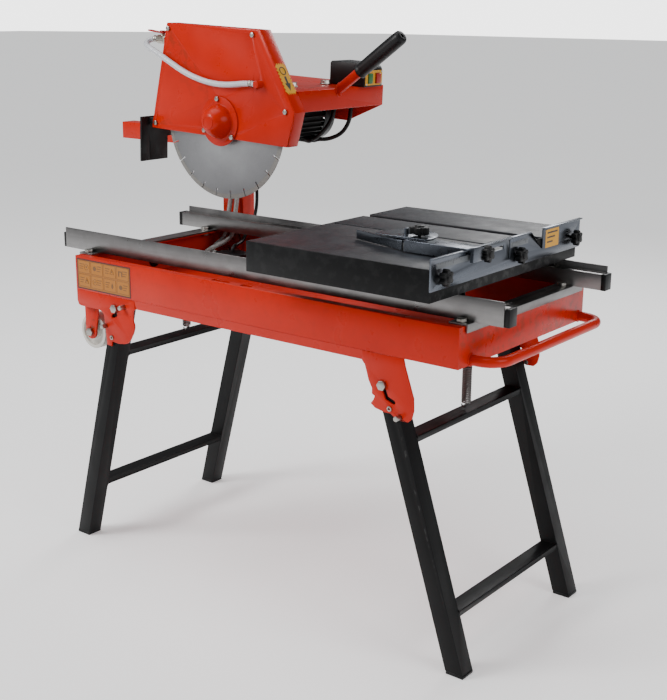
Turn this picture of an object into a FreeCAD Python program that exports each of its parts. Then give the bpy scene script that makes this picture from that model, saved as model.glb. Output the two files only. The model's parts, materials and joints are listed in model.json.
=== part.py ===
"""Masonry table saw with a 350 mm blade on a tilting head, a rolling table and folding legs.

Millimetres, +Z up.  The layout below is measured from the tub's left end (X), from the face of its
front panel (Y) and from the floor (Z).  save() moves every part so that the origin is on the floor,
under the middle of the saw.
"""
import FreeCAD, Part
import math
import os

V = FreeCAD.Vector
X, Y, Z = V(1, 0, 0), V(0, 1, 0), V(0, 0, 1)

# ---- driving dimensions ----
ORIGIN = V(365.5, 283, 0)
TUB_L, TUB_W = 1000, 470
TUB_TOP, TUB_FLOOR = 676, 600
SHEET = 2.5
PLATE = 4
LEG = 37
LEG_WALL = 2.5
LEG_Y = (5.5, TUB_W - 5.5 - LEG)
LEG_BAR = (36, 12)
LEFT_PIVOT = (122.5, 573.5)
RIGHT_PIVOT = (839, 541)
LEFT_LEG = ((-27, 0), (128.8, 582.3))
RIGHT_LEG = ((1013, 0), (832, 560))
BOLT_R = 5
STUD_R = 3
FIT = 0.05
FOOT_H = 6
RAIL_X = (-73, 1065)
RAIL_Z = (680, 712)
FRONT_PLATE_Y = 38
RAIL_PLATE_TOP = 725
RAIL_TUBE_W = 25
TABLE_X = (571, 983)
TABLE_Y = (-72, 455)
TABLE_Z = (730, 788)
DECK_Z = 778
SLOT_Y = (297, 319)
MAT_EDGES = ((-69.5, 184.5), (195, 297), (319, 452.5))
ROLLER_R, ROLLER_Z = 21.7, 734
ROLLER_X = (610, 935)
FENCE_Y = (-74, 463)
FENCE_Z = (750, 808)
COLUMN_X, COLUMN_Y = (10, 76), (470, 512)
COLUMN_TOP = 1000
PIVOT = V(43, 0, 1015)
PIVOT_R = 15
HEAD_DIP = 2.3
BLADE_R, BLADE_T = 175, 3
BLADE_AXIS = (175.2, 963.8)
BLADE_Y = 304.5
SEGMENTS = 24
GUARD_Y = (289, 326)
GUARD_OUTLINE = ((8, 1169.5), (288, 1169.5), (391, 1003.5), (372.5, 928), (-41.5, 928))
MOTOR_R, MOTOR_Y = 66, (345, 590)
HOOD_TOP = 1045
WHEEL_R, WHEEL_AXLE = 40, (20, 501)
LEFT_STOP, RIGHT_STOP = (151, 581), (879, 487)
SLOT_R = 4
RIM_SLOTS = ((404, 45), (481, 27))
PIN_OUT = 14
LEFT_RIVET, RIGHT_RIVET = (109, 506), (856, 499)
LOW_STUD = (91.5, 530)
LEFT_SLOT = ((122.5, 573.5), (124, 559), (114, 555))
RIGHT_SLOT = ((839, 541), (849, 518), (864, 512.5))
FENCE_KNOBS = ((-42, 772), (214, 771), (431, 773))
CLAMP_KNOB = (90, 793)
GUARD_SCREWS = ((13, 1157), (268, 1158), (366, 1003), (-28, 940))
HUB_SCREW_R = 50
HUB_SCREWS = [(BLADE_AXIS[0] + HUB_SCREW_R * math.cos(math.radians(angle)),
               BLADE_AXIS[1] + HUB_SCREW_R * math.sin(math.radians(angle))) for angle in (97, 208, 322)]
HOOD_BOLTS = ((120, 400), (120, 540), (290, 400), (290, 520))
BUTTON_Y = (561, 589)
VALVE = (-22, 306, 1130)


# ---- building blocks ----
def box(x0, x1, y0, y1, z0, z1):
    return Part.makeBox(x1 - x0, y1 - y0, z1 - z0, V(x0, y0, z0))


def rod(start, end, radius):
    run = V(*end) - V(*start)
    return Part.makeCylinder(radius, run.Length, V(*start), run)


def disc_y(x, z, y0, y1, radius):
    return rod((x, y0, z), (x, y1, z), radius)


def ring_y(x, z, y0, y1, outer, inner):
    return disc_y(x, z, y0, y1, outer).cut(disc_y(x, z, y0 - 1, y1 + 1, inner))


def slab(points, start, depth):
    """A flat plate: a closed outline pushed along depth."""
    corners = [V(*p) + start for p in points]
    return Part.Face(Part.makePolygon(corners + corners[:1])).extrude(depth)


def xz_slab(outline, y0, y1):
    return slab([(x, 0, z) for x, z in outline], V(0, y0, 0), V(0, y1 - y0, 0))


def yz_slab(outline, x0, x1):
    return slab([(0, y, z) for y, z in outline], V(x0, 0, 0), V(x1 - x0, 0, 0))


def xy_slab(outline, z0, z1):
    return slab([(x, y, 0) for x, y in outline], V(0, 0, z0), V(0, 0, z1 - z0))


def joined(first, *rest):
    return first.fuse(list(rest)).removeSplitter() if rest else first


def group(shapes):
    return Part.makeCompound(list(shapes))


def slot_y(path, radius, y0, y1):
    """A slot through a plate: a round-ended cut along a path of (X, Z) points."""
    pieces = [disc_y(x, z, y0, y1, radius) for x, z in path]
    for (xa, za), (xb, zb) in zip(path, path[1:]):
        length = math.hypot(xb - xa, zb - za)
        dx, dz = (zb - za) * radius / length, (xa - xb) * radius / length
        corners = [(xa - dx, za - dz), (xa + dx, za + dz), (xb + dx, zb + dz), (xb - dx, zb - dz)]
        pieces.append(xz_slab(corners, y0, y1))
    return joined(*pieces)


def hexagon(centre, across, height, direction):
    """A hex nut or bolt head standing on centre."""
    corners = [V(across / math.sqrt(3), 0, 0)]
    turn = FreeCAD.Rotation(Z, 60)
    for _ in range(5):
        corners.append(turn.multVec(corners[-1]))
    prism = Part.Face(Part.makePolygon(corners + corners[:1])).extrude(V(0, 0, height))
    prism.Placement = FreeCAD.Placement(V(*centre), FreeCAD.Rotation(Z, direction))
    return prism


def bolt(start, direction, length, radius):
    """A bolt: its head is behind start and its shank runs from start along direction."""
    head = hexagon(V(*start) - direction * (1.3 * radius), 3.4 * radius, 1.3 * radius, direction)
    return joined(head, rod(start, V(*start) + direction * length, radius))


def bent_tube(route, radius, label=None):
    """A round tube along straight runs joined by tangent arcs as large as the runs allow."""
    route = [V(*p) for p in route]
    edges, at, radii = [], route[0], []
    for before, corner, after in zip(route, route[1:], route[2:]):
        come, go = corner - before, after - corner
        setback = 0.45 * min(come.Length, go.Length)
        turn = come.getAngle(go)
        radii.append(setback / math.tan(turn / 2))
        begin = corner - V(come).normalize() * setback
        end = corner + V(go).normalize() * setback
        inward = (V(go).normalize() - V(come).normalize()).normalize()
        middle = corner + inward * (radii[-1] / math.cos(turn / 2) - radii[-1])
        edges += [Part.LineSegment(at, begin).toShape(), Part.Arc(begin, middle, end).toShape()]
        at = end
    edges.append(Part.LineSegment(at, route[-1]).toShape())
    path = Part.Wire(edges)
    circle = Part.Wire(Part.makeCircle(radius, route[0], route[1] - route[0]))
    tube = path.makePipeShell([circle], True, False)
    share = tube.Volume / (math.pi * radius**2 * path.Length)
    if label:
        smallest = min(radii)
        print(f"{label}: length {path.Length:.0f}, least radius {smallest:.1f}, volume {share:.4f}")
    return tube


def tilt(shape):
    """Turns a part of the head from level to the dip at which the head hangs."""
    turned = shape.copy()
    turned.rotate(PIVOT, Y, HEAD_DIP)
    return turned


def save(name, shape):
    placed = shape.copy()
    placed.translate(-ORIGIN)
    assert placed.isValid() and placed.Volume > 0, name
    placed.exportStep(f"parts/{name}.step")


# ---- tub, rails and column ----
def tub():
    body = box(0, TUB_L, 0, TUB_W, TUB_FLOOR, TUB_TOP)
    body = body.cut(box(SHEET, TUB_L - SHEET, SHEET, TUB_W - SHEET, TUB_FLOOR + SHEET, TUB_TOP))
    rim = box(1, TUB_L - 1, 1, TUB_W - 1, TUB_TOP - SHEET, TUB_TOP)
    rim = rim.cut(box(34, TUB_L - 34, 20, TUB_W - 14, TUB_TOP - 5, TUB_TOP + 1))
    lip = yz_slab([(0, 601), (2.2, 581), (4.2, 581), (2.5, 601)], 184, 791)
    body = joined(body, rim, lip)
    cuts = [rod((-1, 235, 628), (4, 235, 628), 15)]
    cuts += [box(x, x + length, 7, 19, TUB_TOP - 6, TUB_TOP + 1) for x, length in RIM_SLOTS]
    cuts += [disc_y(x, z, 460, 480, 6.1) for x, z in column_bolt_places()]
    cuts += [rod((x, y, 670), (x, y, 680), 5) for x, y in strip_bolt_places()]
    return body.cut(cuts)


def column_bolt_places():
    return [(x, z) for x in (26, 60) for z in (618, 655)]


def strip_bolt_places():
    return [(x, y) for x in (14, 986) for y in (29, 399)]


def leg_brackets():
    left = [(0, 600), (0, 575), (4, 565), (12, 563), (69, 563), (80, 560), (86, 553), (92, 487), (107, 485.5)]
    left += [(108, 497), (129, 495), (151, 498), (160, 502), (168, 511), (178, 528), (182, 540), (181, 547)]
    left += [(178, 554), (179, 576), (184, 580), (184, 600)]
    right = [(791, 600), (791, 580), (797, 574), (802, 560), (806, 546), (814.5, 531), (814.5, 520), (821, 516.5)]
    right += [(818.5, 509.5), (812, 501), (823, 493.5), (844, 489.5), (858, 490), (867, 484), (880, 480.5)]
    right += [(897, 481), (905, 489), (909, 505), (908, 528), (887.5, 586), (884, 600)]
    pieces = []
    for outline, pivot, stop, slot in ((left, LEFT_PIVOT, LEFT_STOP, LEFT_SLOT),
                                       (right, RIGHT_PIVOT, RIGHT_STOP, RIGHT_SLOT)):
        plates = [xz_slab(outline, y, y + PLATE) for y in (0, TUB_W - PLATE)]
        holes = [disc_y(x, z, -1, TUB_W + 1, BOLT_R + 0.1) for x, z in (pivot, stop)]
        holes.append(slot_y(slot, SLOT_R, -1, TUB_W + 1))
        pieces += [plate.cut(holes) for plate in plates]
    x, z = WHEEL_AXLE
    ear = [(2, 600), (47, 600), (46, 545), (36.5, z), (20, z - 17), (3.5, z)]
    for y in (18, TUB_W - 22):
        plate = joined(xz_slab(ear, y, y + PLATE), disc_y(x, z, y, y + PLATE, 17))
        pieces.append(plate.cut(disc_y(x, z, y - 1, y + 9, BOLT_R + 0.1)))
    return group(pieces)


def carry_handle():
    """The carrying bar: a round bar on the right end wall with wide bends at its two ends."""
    near, far, out, bend = 42, 452, 1054, 40
    first = Part.LineSegment(V(1000, near, 610), V(out - bend, near, 610))
    short = bend * (1 - math.sqrt(0.5))
    turn_in = Part.Arc(V(out - bend, near, 610), V(out - short, near + short, 610), V(out, near + bend, 610))
    run = Part.LineSegment(V(out, near + bend, 610), V(out, far - bend, 610))
    turn_out = Part.Arc(V(out, far - bend, 610), V(out - short, far - short, 610), V(out - bend, far, 610))
    last = Part.LineSegment(V(out - bend, far, 610), V(1000, far, 610))
    path = Part.Wire([edge.toShape() for edge in (first, turn_in, run, turn_out, last)])
    return path.makePipeShell([Part.Wire(Part.makeCircle(10, V(1000, near, 610), X))], True, False)


def cross_strips():
    pieces = []
    for x0, x1, flange in ((-6, 34, -6), (966, 1006, 1002)):
        top = box(x0, x1, 18, 452, 676, 680)
        down = box(flange, flange + PLATE, 18, 452, 664, 680)
        holes = [rod((x, y, 670), (x, y, 690), 5) for x, y in strip_bolt_places()]
        pieces.append(joined(top, down).cut(holes))
    return group(pieces)


def rail(plate_y, tube_y):
    plate = box(RAIL_X[0], RAIL_X[1], plate_y, plate_y + 3, RAIL_Z[0], RAIL_PLATE_TOP)
    tube = box(RAIL_X[0], RAIL_X[1], tube_y, tube_y + RAIL_TUBE_W, *RAIL_Z)
    inside = box(RAIL_X[0] - 1, RAIL_X[1] + 1, tube_y + 2.5, tube_y + RAIL_TUBE_W - 2.5,
                 RAIL_Z[0] + 2.5, RAIL_Z[1] - 2.5)
    beads = [rod((RAIL_X[0], tube_y + at, RAIL_Z[1] - 1.6), (RAIL_X[1], tube_y + at, RAIL_Z[1] - 1.6), 1.8)
             for at in (7, RAIL_TUBE_W - 4)]
    return group([plate, joined(tube, *beads).cut(inside)])


def rail_caps():
    caps = []
    low, high = RAIL_Z
    for tube_y in (41, 409):
        y0, y1 = tube_y - 0.5, tube_y + RAIL_TUBE_W + 0.5
        for x, inward in ((RAIL_X[1], -1), (RAIL_X[0], 1)):
            face = box(min(x, x - inward * 10), max(x, x - inward * 10), y0, y1, low - 0.5, high + 0.5)
            x_in = x + inward * 20
            plug = box(min(x, x_in), max(x, x_in), y0 + 3, y1 - 3, low + 2.5, high - 4)
            caps.append(joined(face, plug))
    return group(caps)


def column():
    x0, x1 = COLUMN_X
    y0, y1 = COLUMN_Y
    post = box(x0, x1, y0, y1, 602, COLUMN_TOP)
    bar = box(-344, x0, y0, y1, 872, 914)
    bush = disc_y(PIVOT.x, PIVOT.z, y0 + 1, y1 - 1, 25)
    weldment = joined(post, bar, bush)
    hollow = [box(x0 + 4, x1 - 4, y0 + 4, y1 - 4, 606, 984), box(-341, x0 + 5, y0 + 3, y1 - 3, 875, 911)]
    hollow.append(disc_y(PIVOT.x, PIVOT.z, y0, y1, PIVOT_R + FIT))
    hollow += [disc_y(x, z, y0 - 1, y0 + 5, 6.1) for x, z in column_bolt_places()]
    return weldment.cut(hollow)


def frame_bolts():
    pieces = [bolt((x, 467.5, z), Y, 10, 6) for x, z in column_bolt_places()]
    for x, y in strip_bolt_places():
        pieces.append(joined(bolt((x, y, 680), -Z, 12, 5), hexagon((x, y, 665.5), 17, 8, Z)))
    inner = LEG_Y[0] + LEG + 0.5
    for x, z in (LEFT_PIVOT, RIGHT_PIVOT):
        pieces.append(joined(bolt((x, 0, z), Y, inner + 1, BOLT_R), hexagon((x, inner, z), 17, 8, Y)))
        pieces.append(joined(bolt((x, TUB_W, z), -Y, inner + 1, BOLT_R),
                             hexagon((x, TUB_W - inner - 8, z), 17, 8, Y)))
    for x, z in (LEFT_STOP, RIGHT_STOP, LOW_STUD):
        hidden = 0 if (x, z) == LOW_STUD else PLATE
        pieces.append(rod((x, -PIN_OUT, z), (x, hidden, z), BOLT_R))
        pieces.append(rod((x, TUB_W - hidden, z), (x, TUB_W + PIN_OUT, z), BOLT_R))
    for x, z in (LEFT_RIVET, RIGHT_RIVET):
        pieces += [ring_y(x, z, -2.5, 0, 5, 2.4), ring_y(x, z, TUB_W, TUB_W + 2.5, 5, 2.4)]
    x, z = WHEEL_AXLE
    pieces.append(joined(bolt((x, 18, z), Y, 40, BOLT_R), hexagon((x, 56, z), 17, 7, Y)))
    pieces.append(joined(bolt((x, TUB_W - 18, z), -Y, 40, BOLT_R), hexagon((x, 407, z), 17, 7, Y)))
    return group(pieces)


def water_pump():
    base = rod((123, 375, 602.5), (123, 375, 622), 45)
    motor = rod((123, 375, 622), (123, 375, 640), 38)
    barbs = [rod((123, y, 630), (62, y, 630), 5) for y in (362, 388)]
    return joined(base, motor, *barbs)


def drain_plug():
    stem = rod((0, 235, 628), (8, 235, 628), 14.9)
    cap = rod((-12, 235, 628), (0, 235, 628), 20)
    return joined(cap, stem)


def spring(x, bottom, top):
    y, hook = 235, 16
    low = bottom + hook
    coil = rod((x, y, low), (x, y, top), 10).cut(rod((x, y, low - 1), (x, y, top + 1), 6))
    ends = [rod((x, y, low), (x, y, low + 3), 8), rod((x, y, top - 3), (x, y, top), 8)]
    hooks = [rod((x, y, bottom), (x, y, low + 2), 2), rod((x, y, top - 2), (x, y, TUB_FLOOR), 2)]
    return joined(coil, *ends, *hooks)


# Routes of the hoses and cables: the points are chosen along each one's real course.
FEED_HOSE = [(62, 388, 630), (48, 388, 630), (39, 396, 636), (37, 414, 645), (40, 434, 656), (43, 446, 672),
             (43, 447.5, 700), (45, 456, 732), (45, 463, 772), (45, 463.4, 832), (44.9, 463, 890),
             (40, 461, 935), (27, 450, 970), (8, 428, 1000), (-8, 402, 1034), (-16, 378, 1072),
             (-18, 362, 1106), (-17.3, 350, 1132), (-17.3, 332.3, 1132.5)]
RETURN_HOSE = [(62, 362, 630), (48, 362, 630), (44, 376, 636), (51, 402, 645), (60, 428, 653), (64, 443, 666),
               (65, 447.5, 692), (65, 456, 728), (65, 463, 770), (65, 463.4, 830), (64.9, 463, 888),
               (60, 458, 930), (48, 446, 962), (34, 424, 990), (22, 396, 1014), (16, 368, 1034),
               (15, 350, 1041), (15, 336.3, 1041.1)]
PUMP_CABLE = [(76, 491, 812), (90, 491, 812), (102, 491, 794), (104, 491, 758), (103, 488, 724),
              (103, 476, 700), (103, 459, 688), (104, 448, 672), (108, 432, 658), (116, 406, 655),
              (123, 386, 656), (123, 378, 649), (123, 377.9, 640)]
SPRAY_HOSE = [(-38, 306, 1130), (-51, 306, 1130), (-61, 297, 1125), (-56, 285, 1117), (-40, 279.5, 1111),
              (-20, 279.5, 1104), (4, 279.5, 1093.5), (34, 279.5, 1080.5), (66, 279.5, 1067),
              (102, 279.5, 1056), (142, 279.5, 1048.5), (184, 279.5, 1046), (224, 279.5, 1049.5),
              (260, 279.5, 1055.4), (286, 279.5, 1055.4)]
MOTOR_CABLES = [[(292, 618, 1042), (293, 619, 1012), (294, 618, 982), (294, 613, 952), (280, 604, 924),
                 (254, 590, 909.5), (236, 572.2, 908), (222, 572, 908)],
                [(262, 600, 1042), (262.5, 600, 1012), (261, 598, 984), (258, 590, 956), (250, 576, 931),
                 (237, 552.2, 908.5), (222, 552, 908)]]


# ---- folding legs and wheels ----
def leg_centre(leg, z):
    (x0, z0), (x1, z1) = leg
    return x0 + (x1 - x0) * (z - z0) / (z1 - z0)


def leg_frame(leg, pivot, upper_z, lower_z):
    foot, top = leg
    across = V(top[0] - foot[0], 0, top[1] - foot[1])
    length = across.Length
    side = V(across.z, 0, -across.x).normalize()
    posts, hollows = [], []
    for y in LEG_Y:
        for half, y0, y1, keep in ((LEG / 2, y, y + LEG, posts),
                                   (LEG / 2 - LEG_WALL, y + LEG_WALL, y + LEG - LEG_WALL, hollows)):
            low = V(foot[0], y0, foot[1]) - across * (60 / length)
            high = V(top[0], y0, top[1]) - (across * (LEG_WALL / length) if keep is hollows else V(0, 0, 0))
            corners = [low - side * half, low + side * half, high + side * half, high - side * half]
            keep.append(Part.Face(Part.makePolygon(corners + corners[:1])).extrude(V(0, y1 - y0, 0)))
    bars = []
    wide, high = LEG_BAR[0] / 2, LEG_BAR[1] / 2
    y0, y1 = LEG_Y[0] + LEG, LEG_Y[1]
    for z in (upper_z, lower_z):
        x = leg_centre(leg, z)
        bar = box(x - wide, x + wide, y0 - 1, y1 + 1, z - high, z + high)
        bore = box(x - wide + 2, x + wide - 2, y0 + 1, y1 - 1, z - high + 2, z + high - 2)
        bars.append(bar.cut(bore))
    frame = joined(*posts, *bars).cut(hollows)
    x, z = pivot
    frame = frame.cut([disc_y(x, z, -10, TUB_W + 10, BOLT_R + FIT), box(-200, 1200, -50, 600, -200, FOOT_H)])
    return frame


def feet(leg):
    x, half = leg_centre(leg, FOOT_H / 2), LEG / 2 + 0.7
    return group([joined(box(x - half, x + half, y, y + LEG, 0, FOOT_H),
                         box(x - 10, x + 10, y + LEG_WALL, y + LEG - LEG_WALL, FOOT_H, 22)) for y in LEG_Y])


def wheel(y0):
    x, z = WHEEL_AXLE
    tread = ring_y(x, z, y0, y0 + 30, WHEEL_R, 14)
    hub = ring_y(x, z, y0 - 1, y0 + 31, 15, BOLT_R + FIT)
    recess = [ring_y(x, z, y0 - 1, y0 + 6, 32, 18), ring_y(x, z, y0 + 24, y0 + 31, 32, 18)]
    return joined(tread.cut(recess), hub)


# ---- rolling table ----
def table_tray():
    x0, x1 = TABLE_X
    y0, y1 = TABLE_Y
    walls = box(x0, x1, y0, y1, *TABLE_Z).cut(box(x0 + 2, x1 - 2, y0 + 2, y1 - 2, 700, 800))
    shell = joined(walls, box(x0, x1, y0, y1, DECK_Z, DECK_Z + 3))
    holes = [box(x0 - 1, x1 - 25, SLOT_Y[0], SLOT_Y[1], 720, 800)]
    holes += [rod((x1 - 3, y, z), (x1 + 2, y, z), STUD_R + 0.06) for y, z in FENCE_KNOBS]
    hangers = []
    for y in (70, 402):
        hanger = box(ROLLER_X[0] - 30, ROLLER_X[1] + 30, y, y + 3, 716, DECK_Z)
        hangers.append(hanger.cut([disc_y(x, ROLLER_Z, y - 4, y + 6, 6.1) for x in ROLLER_X]))
    return group([shell.cut(holes)] + hangers)


def table_mats():
    return group([box(TABLE_X[0] + 2.5, TABLE_X[1] - 2.5, y0, y1, DECK_Z + 3, TABLE_Z[1])
                  for y0, y1 in MAT_EDGES])


def roller_bolts():
    pieces = []
    for x in ROLLER_X:
        front = rod((x, 43, ROLLER_Z), (x, 77, ROLLER_Z), 6)
        pieces.append(joined(front, disc_y(x, ROLLER_Z, 42, 44, 8.5), hexagon((x, 73, ROLLER_Z), 18, 7, Y)))
        back = rod((x, 398, ROLLER_Z), (x, 432, ROLLER_Z), 6)
        pieces.append(joined(back, disc_y(x, ROLLER_Z, 431, 433, 8.5), hexagon((x, 395, ROLLER_Z), 18, 7, Y)))
    return group(pieces)


def rollers(x):
    pieces = []
    for y0, y1 in ((44.5, 66), (409.5, 430.5)):
        body = ring_y(x, ROLLER_Z, y0, y1, ROLLER_R, 6 + FIT)
        pieces.append(body.cut(ring_y(x, ROLLER_Z, y1 - 4, y1 + 1, 17, 11)))
    return group(pieces)




def fence_plate():
    x = TABLE_X[1]
    plate = box(x, x + 3, FENCE_Y[0], FENCE_Y[1], *FENCE_Z)
    flange = box(x, x + 8, FENCE_Y[0], FENCE_Y[1], FENCE_Z[1] - 2.5, FENCE_Z[1])
    notch = [(258, 812), (260, 806), (303, 771), (311, 768), (312, 812)]
    cuts = [yz_slab(notch, x - 1, x + 12), box(x - 1, x + 12, 184, 187, 769, 812)]
    cuts += [rod((x - 1, y, z), (x + 4, y, z), STUD_R + 0.06) for y, z in FENCE_KNOBS]
    y, z = CLAMP_KNOB
    cuts.append(box(x - 1, x + 4, y - 40, y + 75, z - STUD_R - 0.5, z + STUD_R + 0.5))
    return joined(plate, flange).cut(cuts)


def lobed_knob(centre, axis, radius, depth, lobes, stud):
    """A hand knob: a hub with rounded lobes, on a threaded stud that runs back from it."""
    cx = V(*centre)
    across = X if abs(axis.x) < 0.5 else Z
    hub = Part.makeCylinder(radius * 0.72, depth, cx, axis)
    parts = [Part.makeCylinder(radius * 0.45, depth + 3, cx, axis)]
    for k in range(lobes):
        arm = FreeCAD.Rotation(axis, 360 * k / lobes).multVec(across) * (radius * 0.7)
        parts.append(Part.makeCylinder(radius * 0.3, depth, cx + arm, axis))
    parts.append(Part.makeCylinder(STUD_R, stud, cx - axis * stud, axis))
    return joined(hub, *parts)


def fence_knob(y, z):
    return lobed_knob((TABLE_X[1] + 7.4, y, z), X, 15.5, 12, 6, 12)


def stop_arm():
    """The angle stop's bar: a channel across the table, with the block that clamps it on the fence."""
    bar = box(862, 995, 24, 66, 790, 811).cut(box(850, 985, 27, 63, 787, 808))
    bar = bar.cut(box(980, 1000, 0, 100, 780, 808.5))
    block = box(991.5, 999, 40, 69, 784, 811)
    seat = box(983, 992, 24, 66, 808.5, 811)
    tongue = box(820, 863, 45, 75, 808, 811)
    y, z = CLAMP_KNOB
    tab = box(974, 980, 60, y + 14, 789.5, 799.5)
    holes = [rod((843, 60, 800), (843, 60, 815), 5.06), rod((872, 60, 800), (872, 60, 815), STUD_R + 0.06)]
    holes.append(rod((973, y, z), (981, y, z), STUD_R + 0.06))
    return joined(bar, block, seat, tongue, tab).cut(holes)


def stop_clamp_knob():
    y, z = CLAMP_KNOB
    return lobed_knob((TABLE_X[1] + 8.6, y, z), X, 15.5, 12, 6, 16.6)


def stop_plate():
    """The angled stop: a long face hung under a half-round protractor, turning on its post."""
    face = xy_slab([(722, 71), (853, 31), (854, 34), (723, 74)], 790, 807.5)
    arc = rod((843, 60, 811.4), (843, 60, 813.4), 58).cut(box(780, 920, -20, 38, 800, 816))
    slot = rod((843, 60, 800), (843, 60, 820), 34.5).cut(rod((843, 60, 799), (843, 60, 821), 23.5))
    slot = slot.common(xy_slab([(843, 60), (893, 24), (893, 96)], 799, 821))
    neck = xy_slab([(800, 46), (853, 31), (856, 58), (800, 62)], 803, 807.5)
    post = rod((843, 60, 803), (843, 60, 826), 5)
    return joined(arc.cut(slot), face, neck, post)


def star_knob():
    return lobed_knob((872, 60, 818), Z, 19, 13, 5, 14)


# ---- tilting head ----
def shrink(outline, inset):
    """The same convex outline with every side moved inwards by inset."""
    n = len(outline)
    lines = []
    for (x0, z0), (x1, z1) in zip(outline, outline[1:] + outline[:1]):
        length = math.hypot(x1 - x0, z1 - z0)
        nx, nz = (z1 - z0) / length, (x0 - x1) / length
        lines.append((x0 + nx * inset, z0 + nz * inset, x1 - x0, z1 - z0))
    corners = []
    for i in range(n):
        ax, az, adx, adz = lines[i - 1]
        bx, bz, bdx, bdz = lines[i]
        t = ((bx - ax) * bdz - (bz - az) * bdx) / (adx * bdz - adz * bdx)
        corners.append((ax + t * adx, az + t * adz))
    return corners


def guard_shell():
    y0, y1 = GUARD_Y
    outline = list(GUARD_OUTLINE)
    bottom = outline[-1][1]
    inner = [(x, z if z > bottom + 10 else z - 10) for x, z in shrink(outline, SHEET)]
    shell = xz_slab(outline, y0 + SHEET, y1).cut(xz_slab(inner, y0, y1 - SHEET))
    x, z = BLADE_AXIS
    inlet = rod((14, y1, 1040), (14, y1 + 10, 1040), 5)
    return joined(shell.cut(disc_y(x, z, y1 - 5, y1 + 5, 42)), inlet)


def guard_cover():
    y0 = GUARD_Y[0]
    face = xz_slab(GUARD_OUTLINE, y0, y0 + SHEET)
    x, z = BLADE_AXIS
    cuts = [disc_y(x, z, y0 - 1, y0 + 4, 40)]
    cuts += [disc_y(sx, sz, y0 - 1, y0 + 4, 3) for sx, sz in GUARD_SCREWS]
    cuts += [disc_y(sx, sz, y0 - 1, y0 + 4, 3) for sx, sz in HUB_SCREWS]
    elbow = joined(rod((294, y0, 1055.4), (294, y0 - 17.5, 1055.4), 8),
                   rod((286, 279.5, 1055.4), (294, 279.5, 1055.4), 6.5))
    return joined(face.cut(cuts), elbow)


def hub_cover():
    """The domed cap over the arbor nut: a flange with three screws and a deep rounded cone."""
    x, z = BLADE_AXIS
    front = GUARD_Y[0] - 3
    outer = [(0, 36.5), (13, 36.5), (18, 35), (23.5, 31), (29, 24), (33.5, 16), (36.5, 8), (38, 0)]
    inner = [(35.5, 0), (34, 8), (31, 15.5), (26.5, 22.5), (21.5, 28.5), (17, 32), (12.5, 33.5), (0, 33.5)]
    corners = [V(x + radius, front - depth, z) for radius, depth in outer + inner]
    dome = Part.Face(Part.makePolygon(corners + corners[:1])).revolve(V(x, 0, z), Y, 360)
    flange = ring_y(x, z, front, GUARD_Y[0], 55, 35.5)
    cuts = [disc_y(sx, sz, front - 2, GUARD_Y[0] + 1, 3) for sx, sz in HUB_SCREWS]
    return joined(flange, dome).cut(cuts)


def splash_flap():
    low, upper = 849, 922
    flap = box(-56, -51, 264, 350, low, 953)
    step = box(-56, -51, 350, 372, 903, 953)
    tab = box(-51, -36, 289.5, 325.5, 934, 950)
    slit = box(-57, -50, 290, 292, low - 1, upper - 25)
    return joined(flap, step, tab).cut(slit).cut(xz_slab(GUARD_OUTLINE, 280, 330))


def motor_hood():
    x0, x1, back = 62, 370, 640
    top = box(x0, x1, GUARD_Y[1], back, HOOD_TOP - 3, HOOD_TOP)
    right = box(x1 - 3, x1, GUARD_Y[1], back, 999, HOOD_TOP)
    drop = [(x0, HOOD_TOP), (x1, HOOD_TOP), (x1, 999), (270, 952), (x0 + 28, 952), (x0, 980)]
    rear = xz_slab(drop, back - 3, back)
    return joined(top, right, rear).cut([rod((x, y, 1000), (x, y, 1100), 6.1) for x, y in HOOD_BOLTS])


def motor_plate():
    """The plate that carries the motor and its two arms down to the pivot shaft."""
    plate = box(96, 330, 370, 560, HOOD_TOP - 11, HOOD_TOP - 3)
    outline = [(100, 1034), (100, 1006), (43, 997), (43, 1033), (66, 1042), (100, 1042)]
    cuts = [disc_y(PIVOT.x, PIVOT.z, 440, 540, PIVOT_R)]
    cuts += [rod((x, y, 1000), (x, y, 1100), 6.1) for x, y in HOOD_BOLTS]
    pieces = [plate.cut(cuts)]
    for y in (452, 520):
        arm = joined(xz_slab(outline, y, y + 10), disc_y(PIVOT.x, PIVOT.z, y, y + 10, 23))
        pieces.append(arm.cut([plate] + cuts))
    return group(pieces)


def pivot_shaft():
    shaft = disc_y(PIVOT.x, PIVOT.z, 447, 535, PIVOT_R)
    ends = [disc_y(PIVOT.x, PIVOT.z, 446, 452, 19), disc_y(PIVOT.x, PIVOT.z, 530, 536, 19)]
    return joined(shaft, *ends)


def head_bolts():
    pieces = [bolt((x, GUARD_Y[0], z), Y, 2.5, 3) for x, z in GUARD_SCREWS]
    pieces += [bolt((x, GUARD_Y[0] - 3, z), Y, 5.5, 3) for x, z in HUB_SCREWS]
    for x, y in HOOD_BOLTS:
        washer = rod((x, y, HOOD_TOP), (x, y, HOOD_TOP + 2), 13)
        stem = bolt((x, y, HOOD_TOP + 2), -Z, 13, 6)
        pieces.append(joined(washer, stem))
    return group(pieces)


def motor_housing():
    x, z = BLADE_AXIS
    y0, y1 = MOTOR_Y
    tube = disc_y(x, z, y0, y1, 58)
    fins = []
    for k in range(32):
        angle = math.radians(k * 360 / 32)
        fin = box(x - 1.2, x + 1.2, y0 + 4, y1 - 4, z + 50, z + MOTOR_R)
        fin.rotate(V(x, 0, z), Y, math.degrees(angle))
        fins.append(fin)
    foot = box(x - 50, x + 50, y0 + 40, y1 - 60, z + 40, HOOD_TOP - 11)
    glands = [rod((190, y, 908), (222, y, 908), 8) for y in (552, 572)]
    return joined(tube, *fins, foot, *glands).cut(disc_y(x, z, y0 - 1, y1 + 1, 52))


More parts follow.
